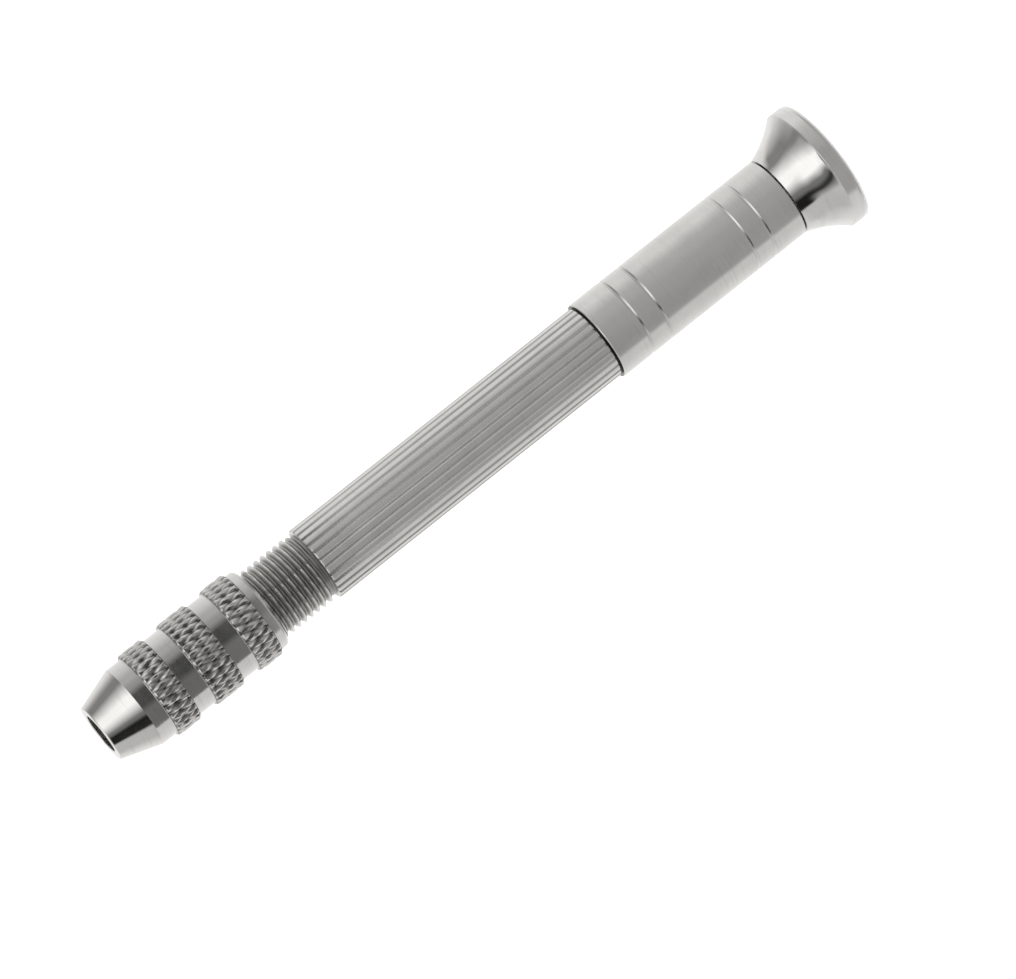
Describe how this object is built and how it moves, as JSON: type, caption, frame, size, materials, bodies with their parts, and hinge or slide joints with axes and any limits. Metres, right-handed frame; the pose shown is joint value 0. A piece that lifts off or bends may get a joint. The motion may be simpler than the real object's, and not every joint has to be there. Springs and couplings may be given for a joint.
{
  "type": "pin vise drill",
  "caption": "Slim hand drill for small bits: keyless jaw chuck with a knurled screw-down sleeve, straight-fluted grip, smooth ringed rear sleeve and a flared palm cap that swivels.",
  "frame": {"origin": "centre of the flat end face of the palm cap, which the tool stands on", "axes": "+Z along the tool's axis, from the palm cap to the nose of the chuck; +Y through the middle of jaw_1"},
  "size_m": [0.0173, 0.0172, 0.116],
  "materials": {
    "polished_nickel": "bright nickel plate over turned steel, polished",
    "satin_nickel": "nickel plate over fine turning marks, satin",
    "hardened_steel": "hardened steel, ground",
    "spring_steel": "drawn spring steel",
    "plain_steel": "turned steel, lightly oiled",
    "bronze": "turned bronze",
    "nylon": "natural nylon"
  },
  "bodies": {
    "handle": {"fluted_body": "satin_nickel", "rear_sleeve": "satin_nickel", "swivel_bush": "bronze", "jaw_seat": "hardened_steel"},
    "palm_cap": {"palm_cap": "polished_nickel", "shoulder_screw": "plain_steel", "head_washer": "plain_steel", "disc_spring": "spring_steel", "thrust_washer": "nylon"},
    "closing_cone": {"closing_cone": "hardened_steel"},
    "chuck_sleeve": {"chuck_sleeve": "satin_nickel", "cone_snap_ring": "spring_steel"},
    "jaw_1": {"jaw_1": "hardened_steel", "jaw_spring_1": "spring_steel"},
    "jaw_2": {"jaw_2": "hardened_steel", "jaw_spring_2": "spring_steel"},
    "jaw_3": {"jaw_3": "hardened_steel", "jaw_spring_3": "spring_steel"}
  },
  "joints": [
    {"name": "palm_swivel", "type": "hinge", "parent": "handle", "child": "palm_cap", "pos_m": [0, 0, 0.0075], "axis": [0, 0, 1], "continuous": true},
    {"name": "cone_travel", "type": "slide", "parent": "handle", "child": "closing_cone", "axis": [0, 0, -1], "range_m": [0, 0.00425]},
    {"name": "sleeve_turn", "type": "hinge", "parent": "closing_cone", "child": "chuck_sleeve", "pos_m": [0, 0, 0.1], "axis": [0, 0, -1], "range_deg": [0, 1530]},
    {"name": "jaw_1_slide", "type": "slide", "parent": "handle", "child": "jaw_1", "axis": [0, -1, 0], "range_m": [0, 0.0013], "deforming": ["jaw_spring_1"]},
    {"name": "jaw_2_slide", "type": "slide", "parent": "handle", "child": "jaw_2", "axis": [0.866, 0.5, 0], "range_m": [0, 0.0013], "deforming": ["jaw_spring_2"]},
    {"name": "jaw_3_slide", "type": "slide", "parent": "handle", "child": "jaw_3", "axis": [-0.866, 0.5, 0], "range_m": [0, 0.0013], "deforming": ["jaw_spring_3"]}
  ],
  "couplings": [
    {"joint": "cone_travel", "follows": "sleeve_turn", "m_per_rad": 0.00015915},
    {"joint": "jaw_1_slide", "follows": "sleeve_turn", "m_per_rad": 0.000048683},
    {"joint": "jaw_2_slide", "follows": "sleeve_turn", "m_per_rad": 0.000048683},
    {"joint": "jaw_3_slide", "follows": "sleeve_turn", "m_per_rad": 0.000048683}
  ]
}
